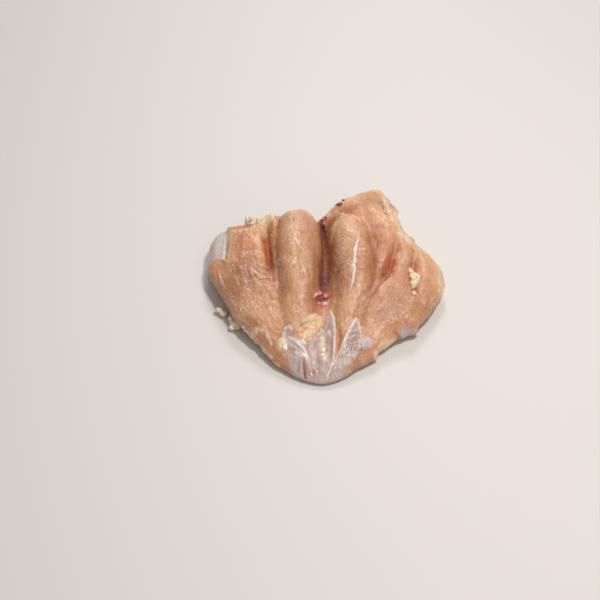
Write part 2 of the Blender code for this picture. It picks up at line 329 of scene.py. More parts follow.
def make_piece(name, points, faces, material, slot):
    """A mesh piece from points in the breast's millimetres, which rides on the breast."""
    mesh = bpy.data.meshes.new(name)
    mesh.from_pydata(((points + SHIFT) * MM).tolist(), [], faces)
    mesh.validate()
    mesh.shade_smooth()
    mesh.materials.append(material)
    piece = bpy.data.objects.new(name, mesh)
    bpy.context.scene.collection.objects.link(piece)
    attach(piece, "root")
    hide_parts("chicken_breast")
    return piece


def normals_of(piece):
    """The unit normal at each point of a piece."""
    normals = np.empty(len(piece.data.vertices) * 3, np.float32)
    piece.data.vertex_normals.foreach_get("vector", normals)
    return normals.reshape(-1, 3)


def set_points(piece, points):
    """Moves a piece's points to new places in the breast's millimetres."""
    piece.data.vertices.foreach_set("co", ((points + SHIFT) * MM).astype(np.float32).ravel())
    piece.data.update()


def add_values(piece, name, values):
    """A named number on each point, for the material to read."""
    attribute = piece.data.attributes.new(name, "FLOAT", "POINT")
    attribute.data.foreach_set("value", values.astype(np.float32))


def add_places(piece, name, places):
    """A named place on each point, for the material to read."""
    attribute = piece.data.attributes.new(name, "FLOAT_VECTOR", "POINT")
    attribute.data.foreach_set("vector", places.astype(np.float32).ravel())


def flesh_height(x, y):
    """Height of the finished upper side over a place seen from above, with the rim's rounding."""
    angle = np.arctan2(y - CENTRE[1], x - CENTRE[0])
    reach = np.hypot(x - CENTRE[0], y - CENTRE[1]) / outline_radius(angle)
    way = np.clip((reach - 1 + RIM_SHARE) / RIM_SHARE, 0, 1)
    rim = rim_height(x, y)
    return rim + (inner_side(x, y) - rim) * np.sqrt(1 - way ** 2)


# What lies on the flesh, as smooth outlines seen from above.
SKIN_PATCHES = (
    ((-22, -46.5), (-19.3, -48.5), (-20.7, -52), (-16.6, -56), (-11.7, -57), (-8.3, -57.5), (-10.4, -61.7),
     (-12.4, -65.3), (-9, -69), (-6.3, -74), (-4.3, -79), (-5, -90), (-13, -92), (-19, -83), (-23, -75.4),
     (-23.4, -68.3), (-25.5, -63), (-27.5, -58), (-27, -52), (-25, -47)),
    ((-8.3, -56.6), (-5.5, -54), (-2, -49), (2.2, -42.6), (3.7, -35.6), (6.5, -31), (9.1, -38), (9.7, -49),
     (9.5, -60), (8.7, -69.6), (6.6, -74.7), (4.5, -90), (-6, -92), (-7, -76), (-8.3, -69), (-9.7, -64)),
    ((25.1, -39.5), (20, -47.7), (16.4, -55.5), (12.9, -64), (8.7, -71), (5.9, -77), (5, -92), (12, -90),
     (17, -77), (23, -71), (26.6, -64), (27.5, -56), (27, -48)),
    ((28, -53), (32.3, -53.7), (36.5, -56.3), (33.6, -61), (28, -63)),
    ((-67.4, 43), (-67.8, 31), (-68.2, 17), (-75, 20), (-92, 22), (-92, 62), (-68, 62)),
    ((56, -43), (60, -41), (66, -39.4), (72, -38.6), (72, -42), (61, -45), (55, -46)),
)
FAT_PATCHES = (
    ((-14, -43.8), (-10.3, -39.5), (-6, -33.5), (-1.2, -33), (1.8, -37.3), (0.1, -44.6), (-3.4, -50.3),
     (-7.6, -55.6), (-13, -57.6), (-12.4, -51.8), (-9, -47), (-12, -46)),
    ((4.9, -47), (7, -48), (6.9, -52.7), (4.8, -52)),
    ((-1.4, -53), (2.8, -53), (2.6, -64), (-1.5, -62.6)),
    ((-1, -65.7), (4, -64.5), (4.6, -70.5), (-0.2, -71.2)),
    ((-29.6, -54.7), (-24.1, -54.7), (-23.4, -63.4), (-28.9, -64), (-31, -59)),
    ((-40, -58), (-35.8, -61.3), (-35.1, -63.7), (-38, -61)),
    ((-55.9, -23.2), (-53.3, -23.8), (-53.6, -25.4), (-55.9, -25)),
    ((-55.4, -28.2), (-52, -29), (-52, -30.4), (-55.1, -29.8)),
    ((-36.4, -31), (-33.7, -31), (-33.7, -33.2), (-36.4, -33.2)),
    ((-46.6, -45), (-43.6, -46), (-44, -49), (-46.6, -48)),
    ((-43, 62), (-34, 62), (-33.6, 50), (-36.6, 47), (-38, 40.5), (-41.5, 36), (-43.8, 46)),
)
# Streaks of cream fat under the surface of the fillets: x, y and half width.
FAT_STREAKS = (
    ((12.8, 56.4, 0.8), (11.9, 47.4, 1.6), (10.3, 37, 1.8), (8.1, 32, 0.8)),
    ((-18.5, 17, 1.5), (-17.5, 8, 2.8), (-18.5, 0, 1.5)),
    ((-15, 4, 0.5), (-13, -2, 0.9), (-11, -8, 0.5)),
)
TENDON_THICKNESS = 1.4
TENDON_LEFT = (
    (-21.2, 46, 0.3), (-20.8, 37, 0.5), (-19.5, 28.8, 0.9), (-18.1, 23.6, 1.2), (-17.2, 18.7, 1.0),
    (-15.2, 13.3, 0.5), (-14.3, 8.7, 0.2),
)
TENDON_RIGHT = (
    (28.8, 33, 0.3), (27.1, 22.3, 0.8), (25.4, 13.6, 1.1), (24.6, 7.7, 1.5), (23.7, 1.4, 1.6),
    (23.6, -3.3, 1.4), (22.8, -9.3, 1.0), (22, -15.2, 0.7), (21.2, -20, 0.3),
)
# Cream lines and white lines: x, y and half width.
CREAM_LINES = (
    ((-65.2, 44, 1.7), (-58.5, 44, 2.0), (-51.1, 44, 2.0), (-43.8, 45, 1.7)),
    ((5.5, 60, 1.5), (10.6, 62.5, 2.0), (15.8, 66.5, 2.2), (22.4, 70, 2.2), (32, 72.5, 1.8)),
    ((47.4, 62, 1.5), (50.5, 55, 2.0), (53.5, 48, 2.5), (56.5, 40.5, 2.5), (61, 33, 2.8), (67, 27, 2.8),
     (73, 23, 1.8)),
    ((6.2, 57, 1.2), (13.6, 57, 1.2), (22.2, 51.5, 1.0), (27.8, 45.4, 0.9), (30, 40, 0.7)),
    ((73, 22, 1.4), (79.6, 22, 1.6), (84.5, 18.2, 2.0), (87, 11.5, 2.0), (87.5, 2.9, 2.0),
     (86, -5, 1.4)),
    ((37, -64, 1.4), (40.5, -58, 1.8), (45.2, -54, 1.4), (51, -49.5, 1.0)),
    ((-48.5, -46, 0.8), (-41.5, -56, 1.0), (-35.8, -63.6, 1.0), (-28.8, -72, 0.8)),
    ((-45, -44.8, 0.8), (-40.8, -47.8, 1.2), (-36.6, -52.7, 1.2), (-34.4, -58.3, 0.8)),
)
WHITE_LINES = (
    ((-68.6, 55, 1.2), (-68.9, 43, 1.7), (-69.2, 33, 1.9), (-69.6, 25, 1.7), (-70, 18.5, 1.0)),
    ((6.5, -30, 0.5), (8.5, -36.4, 0.7), (9.3, -48.6, 0.8), (9.2, -60.3, 0.8), (8.7, -67.4, 0.7),
     (6.6, -74.7, 0.6), (3.8, -82, 0.5)),
    ((25.1, -39.5, 0.9), (20, -48.4, 0.9), (16.4, -56.2, 0.8), (12.9, -64, 0.7), (9.4, -70.7, 0.6),
     (5.9, -77.3, 0.5), (3.8, -84, 0.4)),
    ((25.5, -39.8, 0.8), (27, -48.1, 0.6), (27.5, -56.1, 0.4)),
    ((-22.8, -54.7, 0.7), (-17.9, -57.4, 1.1), (-13.8, -61, 1.1), (-9.7, -66.5, 0.9), (-7, -71.5, 0.8),
     (-5, -77, 0.6)),
    ((-17.2, -65.5, 1.2), (-13.8, -67.2, 1.8), (-9.7, -68.4, 1.0)),
    ((-24.9, -47.9, 1.0), (-22.1, -47.5, 1.5), (-20, -49.2, 1.0)),
)
FAINT_LINES = (
    ((-72.5, 54, 2.5), (-73, 42, 3.6), (-73.5, 31, 3.4), (-74, 22, 2.0)),
    ((-35.4, 40, 0.5), (-34.1, 26, 0.9), (-32.5, 13, 0.9), (-31.6, 0.4, 0.8), (-30.7, -16, 0.5)),
    ((41.6, 0.6, 0.4), (39.5, -6.2, 0.6), (36.3, -14, 0.7), (32.6, -20, 0.8), (28.9, -25, 0.8),
     (28.1, -30, 0.7), (26.5, -37, 0.6)),
    ((43.2, 0.4, 0.6), (48.5, 4.5, 0.7), (54.8, 5, 0.7), (61.3, 4.1, 0.5)),
    ((67.5, -12.5, 0.7), (70.3, -18, 0.8), (73.5, -22, 0.7)),
    ((19.3, -51.3, 0.5), (22.8, -48.6, 0.9), (26.3, -47.1, 0.5)),
    ((17.8, -55.9, 0.5), (22, -53.5, 0.8), (26.8, -53, 0.5)),
    ((20.5, -58.8, 0.5), (24, -58.3, 0.6), (27.4, -58.6, 0.4)),
    ((-26.2, -50.8, 0.8), (-24.1, -56.9, 1.2), (-20, -60.5, 1.2), (-15.2, -64.3, 0.9)),
    # painted highlights: two short rows of glints on the right shoulder
    ((59.7, 19, 0.4), (60.2, 14, 0.8), (58.5, 9, 0.4)),
    ((62, 19, 0.4), (62.5, 13, 0.8), (61.5, 9, 0.4)),
    # painted highlight: a thin bright line along the left flank's edge
    ((-71.8, 2.2, 0.4), (-70.2, -2.6, 0.7), (-68.6, -5.8, 0.4)),
    ((-53.2, 11, 0.5), (-53.1, 4.1, 0.9), (-51.4, -3.1, 0.6)),
    ((-48.7, 2.7, 0.5), (-45.1, -1.3, 0.8), (-41.4, -6.1, 0.5)),
    ((-44.5, 7.7, 0.4), (-40.2, 7, 0.6), (-36.1, 10, 0.4)),
    ((-43.7, 2.1, 0.4), (-39.4, 1.4, 0.6), (-35.3, 5, 0.4)),
    ((-41.5, -3.2, 0.4), (-37.2, -2.8, 0.6), (-33.8, 0, 0.4)),
    ((29.5, -54.7, 0.6), (33, -55.6, 0.9), (36.5, -56.3, 0.6)),
)
# The deepest furrows, where painted shade darkens the flesh: x, y and half width of the painted shade.
DEEP_LINES = (
    ((2.5, 64, 1.5), (2.5, 45, 2.4), (3.2, 25, 3.0), (3.5, 5, 3.6), (2.5, -8, 3.0), (2, -14, 1.5)),
    ((-38.4, 48, 0.6), (-37.4, 30, 1.2), (-36.4, 15, 1.5), (-35.3, 8, 0.6)),
    ((51.6, 16.5, 0.6), (49.3, 11, 2.1), (47, 5.5, 2.8), (44.4, 0.5, 1.5)),
    ((-12.3, -71, 0.4), (-11.8, -75.6, 0.8), (-11.0, -81.5, 0.8)),
)
# Colour fields: x, y, radius along x, radius along y, strength.
COLOUR_FIELDS = {
    "blood": (
        (3.3, 55.5, 2.2, 2.8, 0.5), (4.6, 51, 1.8, 3.5, 0.4), (0.8, 7, 2.5, 4.0, 0.6),
        (2.8, 0, 2.6, 5.0, 0.75), (0.5, -6, 2.2, 3.0, 0.7), (1.4, -15.5, 2.8, 5.2, 1.0),
        (0.6, -18.4, 2.6, 3.0, 0.6), (-2.8, -20.6, 2.2, 1.8, 0.7), (4.4, -20.5, 2.2, 1.6, 0.6),
        (5.6, -15.5, 2.0, 1.6, 0.6), (13.6, 62.3, 2.0, 1.8, 0.9), (-1, -80, 3.5, 3.0, 0.25),
        (56, -46, 8.0, 1.6, 0.65), (33, -61.5, 4.5, 1.2, 0.4),
    ),
    # Painted shade: flesh in the shade of the muscles, on flanks turned from the light and at the
    # tip that curves away from it, is painted darker.
    "shade": (
        (-8, 20, 6.5, 34, 1.0), (-3, -8, 8, 16, 0.9), (10, 20, 6, 26, 0.45), (-6, -4, 6, 18, 0.9),
        (22, -61, 8, 10, 1.0), (-50, -2, 14, 16, 0.5), (0, -79, 30, 9, 0.75), (-6, -12, 5, 16, 0.5),
        (-50, -1, 15, 15, 0.9), (-30, -8, 7, 22, 0.4), (38, 18, 9, 15, 1.0), (42, -36, 10, 8, 0.4),
        (56, -25, 12, 9, 0.3), (34, 2, 6, 16, 0.5), (58, 2, 8, 9, 0.5), (-62, -6, 10, 18, 0.4),
        (-30, -60, 12, 8, 0.3), (20, -5, 12, 16, 0.45), (60, -16, 16, 11, 0.6), (48, -30, 12, 10, 0.5),
        (10, -48, 3, 12, 0.5), (-58, 28, 8, 14, 0.35),
    ),
    # Painted light: the roll, the tops of the fillet heads, the right shoulder's rims, the ledge and the
    # tip's membranes, where the light falls most, are painted paler.
    "pale": (
        (34, 71, 16, 8, 1.0), (36, 61, 14, 7, 0.9), (27, 50, 9, 6, 0.5), (-73, 40, 6, 20, 0.9),
        (46, 68, 9, 8, 0.8), (54, 50, 6, 14, 0.8), (64, 33, 10, 7, 0.7), (80, 16, 9, 12, 0.6),
        (86, 0, 5, 12, 0.5), (-16, 56, 14, 7, 0.7), (20, 50, 10, 6, 0.4), (-54, -30, 12, 10, 0.25),
        (0, -84, 30, 6, 0.4), (-66, 20, 3, 26, 0.3), (12, -30, 8, 10, 0.3), (44, -54, 8, 6, 0.5),
    ),
    # Orange flesh: in the furrows, the pocket, the cut at the tip and the trough under the roll it is painted
    # shade, glowing orange; elsewhere it is the flesh's own tone.
    "warm": (
        (28, 57.5, 11, 6, 1.0), (39, 66, 8, 4, 0.6), (-55, 35, 13, 10, 0.9), (79, 8, 8, 10, 0.6),
        (47.8, 8.5, 6, 13, 1.0), (54, -14, 14, 12, 0.25), (-37.8, 26, 3, 20, 0.7), (4, 24, 4, 22, 0.35),
        (-16, 8, 13, 30, 0.22), (-11.8, -76, 2.5, 6, 1.0), (58, 14, 9, 14, 0.6), (12.5, -50, 3, 10, 0.7),
        (36, 16.5, 6, 14, 0.6), (-73.6, 11.8, 5, 8, 0.6), (-60, -27.7, 9, 16, 0.3), (3, -27.5, 3, 3, 0.9),
        (50, 34, 8, 8, 0.5), (-50, 20, 12, 16, 0.35),
    ),
    "rosy": (
        (0, -18, 5, 6, 1.0), (53, -10, 14, 12, 0.6), (79.5, -8, 8, 10, 0.8), (-51.5, 1, 7, 9, 0.7),
        (34, 48, 5, 5, 0.9), (-36, -5, 6, 14, 0.4), (47.5, 46, 6, 8, 0.9), (39, -58, 10, 6, 0.4),
        (60, -42, 10, 5, 0.9), (-14.5, -21, 12, 16, 0.2), (58, 2.5, 6, 8, 0.5), (-42, 24, 3, 16, 0.5),
    ),
    # More beads of moisture: their bump and gloss are real, their pale dots are painted glints.
    "damp": (
        (15, 16, 7, 16, 1.0), (12, 0, 6, 10, 0.8), (-25, 4, 6, 14, 0.9), (-49, -32, 14, 11, 0.8),
        (46, -24, 14, 12, 0.6), (-14, -34, 9, 10, 0.5), (25, -20, 6, 14, 0.5), (4.4, -29.8, 4, 4, 1.0),
        (-62, -20, 8, 14, 0.5), (16, -77, 12, 6, 0.5),
    ),
}

MUSCLES = (OUTER_STRAND, INNER_STRAND, SHOULDER_ROLL, FILLET_LEFT, FILLET_RIGHT)
GRAIN_GAP = 300  # keeps the noise in each muscle's grain apart from the next one's
FIBRE_SLANT = 0.3  # how far the fillets' fibres run outwards for each mm along the fillet
SLANT_WAY = 50  # the slant stops growing that many mm along the fillet

# Relief on the flesh in millimetres, and how far apart its forms lie across and along.
BUNDLE_RELIEF, BUNDLE_SPAN = 0.12, (1.9, 11)
FIBRE_RELIEF, FIBRE_SPAN = 0.05, (0.9, 6)
LUMP_RELIEF, LUMP_SPAN = 0.6, (9, 11)
SMALL_LUMP_RELIEF, SMALL_LUMP_SPAN = 0.28, (4.1, 4.6)
SKIN_RELIEF, PLEAT_RELIEF = 0.4, 0.14
FAT_RELIEF, CURD_RELIEF = 0.6, 0.3
CREAM_RELIEF = 0.5
WHITE_RELIEF, FAINT_RELIEF = 0.3, 0.12
LUMPS_UNDER_SKIN = 0.35  # the share of the lumps that shows through skin and fat
SKIN_FOOT = 8.0  # height on the ledge's flank where its skin ends
SOFT_SKIN_Y = -62  # nearer the tip than this the skin's edge is soft

# How many mm below or above its surroundings a place has the full painted shade of a hollow or crease,
# or the full painted light of a ridge, and how many grid points away those surroundings reach.
HOLLOW_DEPTH = 3.5
RIDGE_RISE = 2.0
HOLLOW_REACH = 9
CREASE_DEPTH = 0.9
CREASE_REACH = 3


def line_cover(rows, x, y):
    """1 within half of a line's half width and 0 beyond one and a half of it, eased between them."""
    distance, _, _, (half_width,) = nearest(through(rows), x, y)
    return ease(1.5 - distance / np.maximum(half_width, 0.1))


def grain_places(x, y):
    """Places across and along the muscle fibres in mm. In the flat flesh they run from the shoulders to
    the tip and close up with the outline; in each muscle that stands out they follow its crest."""
    reach = np.interp(y, (-86, -70, -50, -30, 0, 40, 80), (0.12, 0.38, 0.6, 0.8, 1.0, 1.0, 0.9))
    across = (x - CENTRE[0]) / reach + 6 * np.sin(y / 40)
    along = y + 0.12 * np.abs(x)
    flesh = inner_side(x, y)
    for number, rows in enumerate(MUSCLES, 1):
        distance, side, way, (half_width, crest) = nearest(through(rows), x, y)
        top = crest - MUSCLE_FALL * half_width * (distance / half_width) ** 3
        on_it = top > flesh - 0.8
        aside = side * distance / half_width * half_width.max()
        if rows in (FILLET_LEFT, FILLET_RIGHT):
            aside = aside - FIBRE_SLANT * np.minimum(way, SLANT_WAY) * np.tanh(aside / 5)
        across = np.where(on_it, aside + GRAIN_GAP * number, across)
        along = np.where(on_it, way + 0.25 * distance, along)
    wander = 1.6 * noise(x / 7, y / 9, 8) + 0.5 * noise(x / 2.5, y / 3, 9)
    return across + wander, along


def smoothed(values, reach):
    """The grid's values averaged over a square of that reach, twice, with the edge repeated."""
    size = 2 * reach + 1
    for axis in (0, 1, 0, 1):
        border = [(reach + 1, reach) if k == axis else (0, 0) for k in (0, 1)]
        total = np.pad(values, border, mode="edge").cumsum(axis)
        upper = np.take(total, np.arange(size, total.shape[axis]), axis)
        lower = np.take(total, np.arange(total.shape[axis] - size), axis)
        values = (upper - lower) / size
    return values


def highest(measure, shapes, x, y):
    """For each place, the largest value of one measure over several shapes."""
    return np.max([measure(shape, x, y) for shape in shapes], 0)


def skin_depth(x, y, z):
    """How deep each place lies inside the skin patches in mm, negative outside them. It shrinks towards
    the tip, which softens the edge, and on the ledge's flank the skin ends in a wavy line."""
    depth = highest(depth_inside, SKIN_PATCHES, x, y) / (1 + 3 * ease((SOFT_SKIN_Y - y) / 14))
    wavy = depth + 1.2 * noise(y / 5, z / 5, 14)
    above_foot = z - SKIN_FOOT + 3 * noise(y / 6, z / 6, 15)
    return np.where(y > 0, np.minimum(wavy, above_foot), depth)


def flesh_relief(x, y, z, grain, skin, fat, lines):
    """Relief in mm: fibre bundles and soft lumps on the bare flesh, weaker lumps elsewhere, pleated skin,
    lumpy fat and raised lines, all times a share that eases from 0 at the floor to 1 just above it."""
    across, along = grain
    white, faint, cream = lines
    bare = 1 - ease(np.maximum(skin, fat) / 1.5 + 0.5)
    bundles = BUNDLE_RELIEF * noise(across / BUNDLE_SPAN[0], along / BUNDLE_SPAN[1], 1)
    bundles += FIBRE_RELIEF * noise(across / FIBRE_SPAN[0], along / FIBRE_SPAN[1], 2)
    lumps = LUMP_RELIEF * noise(x / LUMP_SPAN[0], y / LUMP_SPAN[1], 3)
    lumps += SMALL_LUMP_RELIEF * noise(x / SMALL_LUMP_SPAN[0], y / SMALL_LUMP_SPAN[1], 4)
    pleats = PLEAT_RELIEF * np.abs(noise(across / 2.6 + along / 9, along / 5, 5))
    curds = CURD_RELIEF * noise(x / 2.6, y / 2.6, 6)
    relief = bundles * bare + lumps * (LUMPS_UNDER_SKIN + (1 - LUMPS_UNDER_SKIN) * bare)
    relief += ease(skin / 1.2 + 0.4) * (SKIN_RELIEF + pleats) + ease(fat / 3.5 + 0.1) * (FAT_RELIEF + curds)
    relief += WHITE_RELIEF * white + FAINT_RELIEF * faint
    relief += CREAM_RELIEF * cream * (1 + noise(x / 1.8, y / 1.8, 7))
    return relief * ease(z / 2.5)


def build_flesh(material, side_points=280, rings=9):
    """The flesh: the closed form moved along its normals by its relief, and the numbers that its material
    reads. Hollows and ridges are how far a place lies below or above the mean height around it."""
    points, faces, index = flesh_mesh(side_points, rings)
    piece = make_piece("breast_flesh", points, faces, material, "raw_flesh")
    x, y, z = points.T
    across, along = grain_places(x, y)
    skin = skin_depth(x, y, z)
    fat = highest(depth_inside, FAT_PATCHES, x, y)
    streaks, white, faint, deep, cream = (
        highest(line_cover, lines, x, y)
        for lines in (FAT_STREAKS, WHITE_LINES, FAINT_LINES, DEEP_LINES, CREAM_LINES)
    )
    relief = flesh_relief(x, y, z, (across, along), skin, fat, (white, faint, cream))
    set_points(piece, points + relief[:, None] * normals_of(piece))
    top = z[:index.size].reshape(index.shape)
    hollow, crease = np.zeros((2, len(points)))
    hollow[:index.size] = (smoothed(top, HOLLOW_REACH) - top).ravel()
    crease[:index.size] = (smoothed(top, CREASE_REACH) - top).ravel()
    add_places(piece, "grain", np.column_stack([across, along, z]))
    fields = {
        "skin": skin,
        "fat": np.maximum(fat, 2.2 * streaks - 1.6),
        # painted shade in hollows and creases, painted light on ridges
        "hollow": np.clip(hollow / HOLLOW_DEPTH, 0, 1),
        "ridge": np.clip(-hollow / RIDGE_RISE, 0, 1),
        "crease": np.clip(crease / CREASE_DEPTH, 0, 1),
        # painted shade: the flank is darker the nearer it lies to the table
        "low": np.clip(1.15 - z / rim_height(x, y), 0, 1),
        "cream": cream,
        # white lines of tissue, and among the faint lines some painted highlights
        "white": np.maximum(white, 0.45 * faint),
        "deep": deep,
    }
    for name, spots in COLOUR_FIELDS.items():
        fields[name] = np.clip(bumps(spots, x, y), 0, 1)
    for name, values in fields.items():
        add_values(piece, name, values)


def closed_strand(rows, around=14, steps=5, rough=0.15, seed=0, blunt=4.0):
    """Points and faces of a flattened strand carried along a path: rows of x, y, height over the flesh,
    half width and half thickness. Its section is an oval that draws in at both ends, as the root of one
    minus the blunt power of the way from its middle, and noise swells it."""
    path = through(rows, steps=steps)
    base = flesh_height(path[:, 0], path[:, 1]) + path[:, 2]
    spine = np.column_stack([path[:, :2], base])
    tangent = np.gradient(spine, axis=0)
    tangent /= np.linalg.norm(tangent, axis=1)[:, None]
    sideways = np.cross(tangent, (0, 0, 1))
    sideways /= np.linalg.norm(sideways, axis=1)[:, None]
    upward = np.cross(sideways, tangent)
    way = np.linspace(-1, 1, len(path))
    draw = np.sqrt(np.clip(1 - np.abs(way) ** blunt, 0.0004, 1))[:, None, None]
    turn = np.linspace(0, 2 * math.pi, around, endpoint=False)
    wide = path[:, 3, None, None] * np.cos(turn)[None, :, None] * sideways[:, None, :]
    thick = path[:, 4, None, None] * np.sin(turn)[None, :, None] * upward[:, None, :]
    drift = way[:, None] * len(rows)
    swirl = noise(np.cos(turn) * 1.6 + drift, np.sin(turn) * 1.6 + drift, seed + 20)
    swell = 1 + 2 * rough * swirl[..., None]
    points = spine[:, None, :] + (wide + thick) * draw * swell
    index = np.arange(points.shape[0] * around).reshape(-1, around)
    index = np.column_stack([index, index[:, 0]])
    caps = [index[0, :-1].tolist(), index[-1, -2::-1].tolist()]
    return points.reshape(-1, 3), [*grid_quads(index).tolist(), *caps]


def closed_lump(x, y, lift, wide, deep, tall, rough=0.2, seed=0, around=28, up=16, lying=True):
    """Points and faces of a round lump: a ball stretched to its three radii and swollen by noise. The lift
    is counted from the flesh, or from the table if it isn't lying on the flesh."""
    turn = np.linspace(0, 2 * math.pi, around, endpoint=False)
    rise = np.linspace(-math.pi / 2, math.pi / 2, up + 2)[1:-1]
    turn, rise = np.meshgrid(turn, rise)
    ball = np.stack([np.cos(rise) * np.cos(turn), np.cos(rise) * np.sin(turn), np.sin(rise)], -1)
    poles = np.array([[0, 0, -1.0], [0, 0, 1.0]])
    ball = np.vstack([ball.reshape(-1, 3), poles])
    swell = 1 + rough * (noise(ball[:, 0] * 1.7 + seed, ball[:, 1] * 1.7 + ball[:, 2], seed + 40)
                         + 0.5 * noise(ball[:, 0] * 4 + seed, ball[:, 1] * 4 + ball[:, 2] * 4, seed + 41))
    ground = float(flesh_height(np.array(float(x)), np.array(float(y)))) if lying else 0.0
    middle = np.array([x, y, ground + lift])
    points = middle + ball * swell[:, None] * (wide, deep, tall)
    index = np.arange(up * around).reshape(up, around)
    index = np.column_stack([index, index[:, 0]])
    south, north = up * around, up * around + 1
    lids = [[south, b, a] for a, b in zip(index[0, :-1], index[0, 1:])]
    lids += [[north, a, b] for a, b in zip(index[-1, :-1], index[-1, 1:])]
    return points, [*grid_quads(index.T).tolist(), *[[int(v) for v in lid] for lid in lids]]


def joined(*shapes):
    """Several shapes as one list of points and one of faces."""
    points, faces, count = [], [], 0
    for some_points, some_faces in shapes:
        points.append(some_points)
        faces += [[v + count for v in face] for face in some_faces]
        count += len(some_points)
    return np.vstack(points), faces


def closed_ring(x, y, wide, deep, lift, thick, seed=0, around=12, steps=48):
    """Points and faces of a lumpy ring on the flesh: a round section carried around an oval, with both
    the oval and the section swollen by noise."""
    way = np.linspace(0, 2 * math.pi, steps, endpoint=False)
    wobble = 1 + 0.12 * noise(np.cos(way) * 2 + seed, np.sin(way) * 2, seed + 60)
    spine_x = x + wide * wobble * np.cos(way)
    spine_y = y + deep * wobble * np.sin(way)
    spine_z = flesh_height(spine_x, spine_y) + lift
    turn = np.linspace(0, 2 * math.pi, around, endpoint=False)
    swell = thick * (1 + 0.3 * noise(np.cos(way) * 3 + seed, np.sin(way) * 3, seed + 61))[:, None]
    outward = np.cos(turn)[None] * swell
    points = np.stack([
        spine_x[:, None] + outward * np.cos(way)[:, None],
        spine_y[:, None] + outward * np.sin(way)[:, None],
        spine_z[:, None] + np.sin(turn)[None] * swell,
    ], -1)
    index = np.arange(steps * around).reshape(steps, around)
    index = np.column_stack([index, index[:, 0]])
    index = np.vstack([index, index[:1]])
    return points.reshape(-1, 3), grid_quads(index).tolist()


def add_node(tree, kind, inputs=None, **settings):
    """A shader node with its settings, and its inputs either joined to a socket or set to a value."""
    node = tree.nodes.new(kind)
    for name, value in settings.items():
        setattr(node, name, value)
    for name, value in (inputs or {}).items():
        if isinstance(value, bpy.types.NodeSocket):
            tree.links.new(value, node.inputs[name])
        else:
            node.inputs[name].default_value = value
    return node


def maths(tree, operation, a, b=0.0, clamp=False):
    """The result of one operation on two values."""
    return add_node(tree, "ShaderNodeMath", {0: a, 1: b}, operation=operation, use_clamp=clamp).outputs[0]


def times(tree, a, b):
    """The product of two values."""
    return maths(tree, "MULTIPLY", a, b)


def summed(tree, *terms):
    """The sum of several values, each times its own number."""
    total = 0.0
    for value, factor in terms:
        inputs = {0: value, 1: factor, 2: total}
        total = add_node(tree, "ShaderNodeMath", inputs, operation="MULTIPLY_ADD").outputs[0]
    return total


def spread(tree, value, low, high, to_low=0.0, to_high=1.0):
    """A value taken from one range to another, eased at both ends."""
    inputs = {"Value": value, "From Min": low, "From Max": high, "To Min": to_low, "To Max": to_high}
    return add_node(tree, "ShaderNodeMapRange", inputs, interpolation_type="SMOOTHSTEP").outputs[0]


def cloud(tree, place, scale=1.0, detail=2.0, rough=0.5, distortion=0.0):
    """Fractal noise around a half, finer where the scale is higher."""
    inputs = {"Vector": place, "Scale": scale, "Detail": detail, "Roughness": rough, "Distortion": distortion}
    return add_node(tree, "ShaderNodeTexNoise", inputs).outputs[0]


def colour(code):
    """A linear colour from its hexadecimal code."""
    parts = (int(code[i:i + 2], 16) / 255 for i in (1, 3, 5))
    return (*(p / 12.92 if p <= 0.04045 else ((p + 0.055) / 1.055) ** 2.4 for p in parts), 1.0)


def mixed(tree, share, *pair):
    """The first of two colours, sockets or codes, with a share of the second."""
    first, second = (colour(part) if isinstance(part, str) else part for part in pair)
    return add_node(tree, "ShaderNodeMix", {0: share, 6: first, 7: second}, data_type="RGBA").outputs[2]


def layered(tree, base, *layers):
    """A colour with others laid over it in turn: rows of a mask, how much of it counts, and the colour."""
    for mask, most, tint in layers:
        base = mixed(tree, times(tree, mask, most), base, tint)
    return base


def attribute(tree, name):
    """The numbers or places of one name on the piece's points."""
    return add_node(tree, "ShaderNodeAttribute", attribute_name=name).outputs


def new_group(name, inputs, outputs):
    """An empty node group with named inputs and outputs: pairs of a name and a socket type."""
    tree = bpy.data.node_groups.new(name, "ShaderNodeTree")
    for label, kind in inputs:
        tree.interface.new_socket(label, in_out="INPUT", socket_type=kind)
    for label, kind in outputs:
        tree.interface.new_socket(label, in_out="OUTPUT", socket_type=kind)
    return tree, tree.nodes.new("NodeGroupInput").outputs, tree.nodes.new("NodeGroupOutput")


def use_group(tree, group, inputs):
    """The outputs of a node group with its inputs joined or set."""
    return add_node(tree, "ShaderNodeGroup", inputs, node_tree=group).outputs


def scaled(tree, place, x, y, z):
    """A place with its three numbers each times a number of its own."""
    inputs = {0: place, 1: (x, y, z)}
    return add_node(tree, "ShaderNodeVectorMath", inputs, operation="MULTIPLY").outputs[0]


def fibre_group():
    """Muscle fibres from places across, along and up in mm: pale streaks, dark streaks and a height."""
    tree, given, result = new_group(
        "muscle_fibres", [("Grain", "NodeSocketVector")],
        [("Pale", "NodeSocketFloat"), ("Dark", "NodeSocketFloat"), ("Height", "NodeSocketFloat")],
    )
    fine = cloud(tree, scaled(tree, given["Grain"], 0.85, 0.11, 0.3), detail=3.0, distortion=0.3)
    broad = cloud(tree, scaled(tree, given["Grain"], 0.24, 0.045, 0.1), detail=3.0, distortion=0.4)
    hair = cloud(tree, scaled(tree, given["Grain"], 2.0, 0.3, 0.8))
    pale = times(tree, spread(tree, fine, 0.47, 0.62), spread(tree, broad, 0.35, 0.62))
    tree.links.new(pale, result.inputs["Pale"])
    tree.links.new(spread(tree, broad, 0.56, 0.3), result.inputs["Dark"])
    tree.links.new(summed(tree, (hair, 0.5), (fine, 1.0)), result.inputs["Height"])
    return tree


